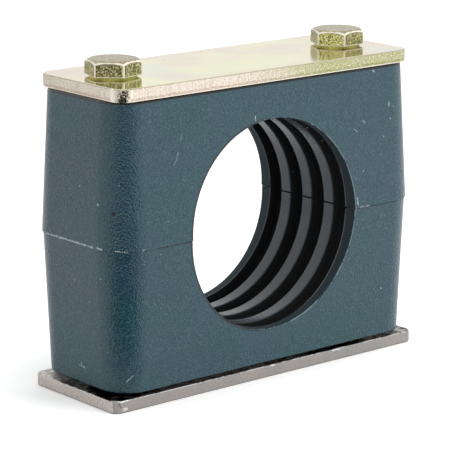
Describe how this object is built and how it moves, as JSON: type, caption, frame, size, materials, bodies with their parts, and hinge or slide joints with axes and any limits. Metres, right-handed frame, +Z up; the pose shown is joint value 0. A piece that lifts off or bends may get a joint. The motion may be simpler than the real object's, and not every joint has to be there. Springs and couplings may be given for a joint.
{
  "type": "two-bolt block pipe clamp on a weld plate",
  "caption": "Split block pipe clamp with a ribbed round bore, bolted between a flat cover plate and a plate for welding down.",
  "frame": {"origin": "middle of the weld plate's underside", "axes": "+Z up, away from the surface it is welded to; +X along the line of the two bolts; +Y along the pipe"},
  "size_m": [0.0898, 0.0334, 0.0752],
  "materials": {
    "moulded_body": "moulded blue-grey polypropylene, matt with a fine grain",
    "yellow_zinc_plate": "bright yellow-passivated zinc with faint pink and green tints",
    "yellow_zinc_bolt": "dull yellow-passivated zinc, rough on the hexagon",
    "bare_steel": "plain steel, satin and lightly mottled"
  },
  "bodies": {
    "base": {"weld_plate": "bare_steel", "lower_clamp_half": "moulded_body"},
    "clamp_top": {"upper_clamp_half": "moulded_body", "cover_plate": "yellow_zinc_plate"},
    "left_bolt": {"left_bolt": "yellow_zinc_bolt"},
    "right_bolt": {"right_bolt": "yellow_zinc_bolt"}
  },
  "joints": [
    {"name": "clamp_open", "type": "slide", "parent": "base", "child": "clamp_top", "axis": [0, 0, 1], "range_m": [0, 0.00508]},
    {"name": "left_bolt_turn", "type": "hinge", "parent": "clamp_top", "child": "left_bolt", "pos_m": [-0.033, 0, 0.07125], "axis": [0, 0, 1], "range_deg": [0, 1440]},
    {"name": "right_bolt_turn", "type": "hinge", "parent": "clamp_top", "child": "right_bolt", "pos_m": [0.033, 0, 0.07125], "axis": [0, 0, 1], "range_deg": [0, 1440]}
  ],
  "couplings": [
    {"joint": "left_bolt_turn", "follows": "clamp_open", "rad_per_m": 4947.4},
    {"joint": "right_bolt_turn", "follows": "clamp_open", "rad_per_m": 4947.4}
  ]
}
